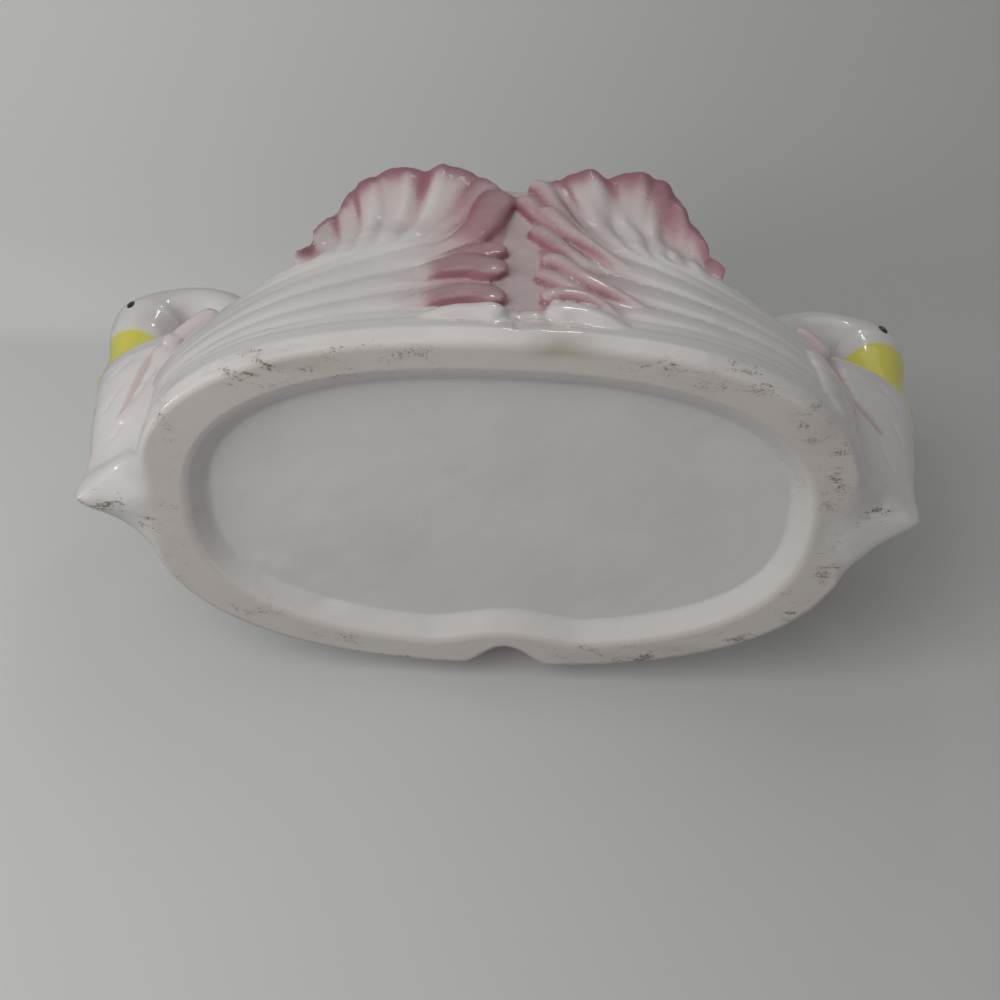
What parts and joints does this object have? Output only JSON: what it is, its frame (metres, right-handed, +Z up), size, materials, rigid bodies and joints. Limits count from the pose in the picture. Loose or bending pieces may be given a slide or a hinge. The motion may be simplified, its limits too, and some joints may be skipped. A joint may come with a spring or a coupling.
{
  "type": "double swan planter",
  "caption": "Low oval glazed pot whose walls are swans' fanned wings, with a bowed swan at each end and an open bowl for a plant.",
  "frame": {"origin": "middle of the foot, on the surface that the pot stands on", "axes": "+X from the middle towards the right swan, +Y towards the back, +Z up"},
  "size_m": [0.2894, 0.1326, 0.131],
  "materials": {
    "white_glaze": "gloss",
    "blush_glaze": "gloss",
    "mauve_glaze": "gloss",
    "yellow_glaze": "gloss",
    "black_glaze": "gloss"
  },
  "bodies": {
    "root": {"basin": "white_glaze", "left_breast": "white_glaze", "right_breast": "white_glaze", "left_neck": "white_glaze", "right_neck": "white_glaze", "left_head": "white_glaze", "right_head": "white_glaze", "front_left_wing": "blush_glaze", "front_right_wing": "blush_glaze", "back_left_wing": "blush_glaze", "back_right_wing": "blush_glaze", "front_panel": "mauve_glaze", "back_panel": "mauve_glaze", "left_beak": "yellow_glaze", "right_beak": "yellow_glaze", "left_front_eye": "black_glaze", "left_back_eye": "black_glaze", "right_front_eye": "black_glaze", "right_back_eye": "black_glaze"}
  },
  "joints": []
}
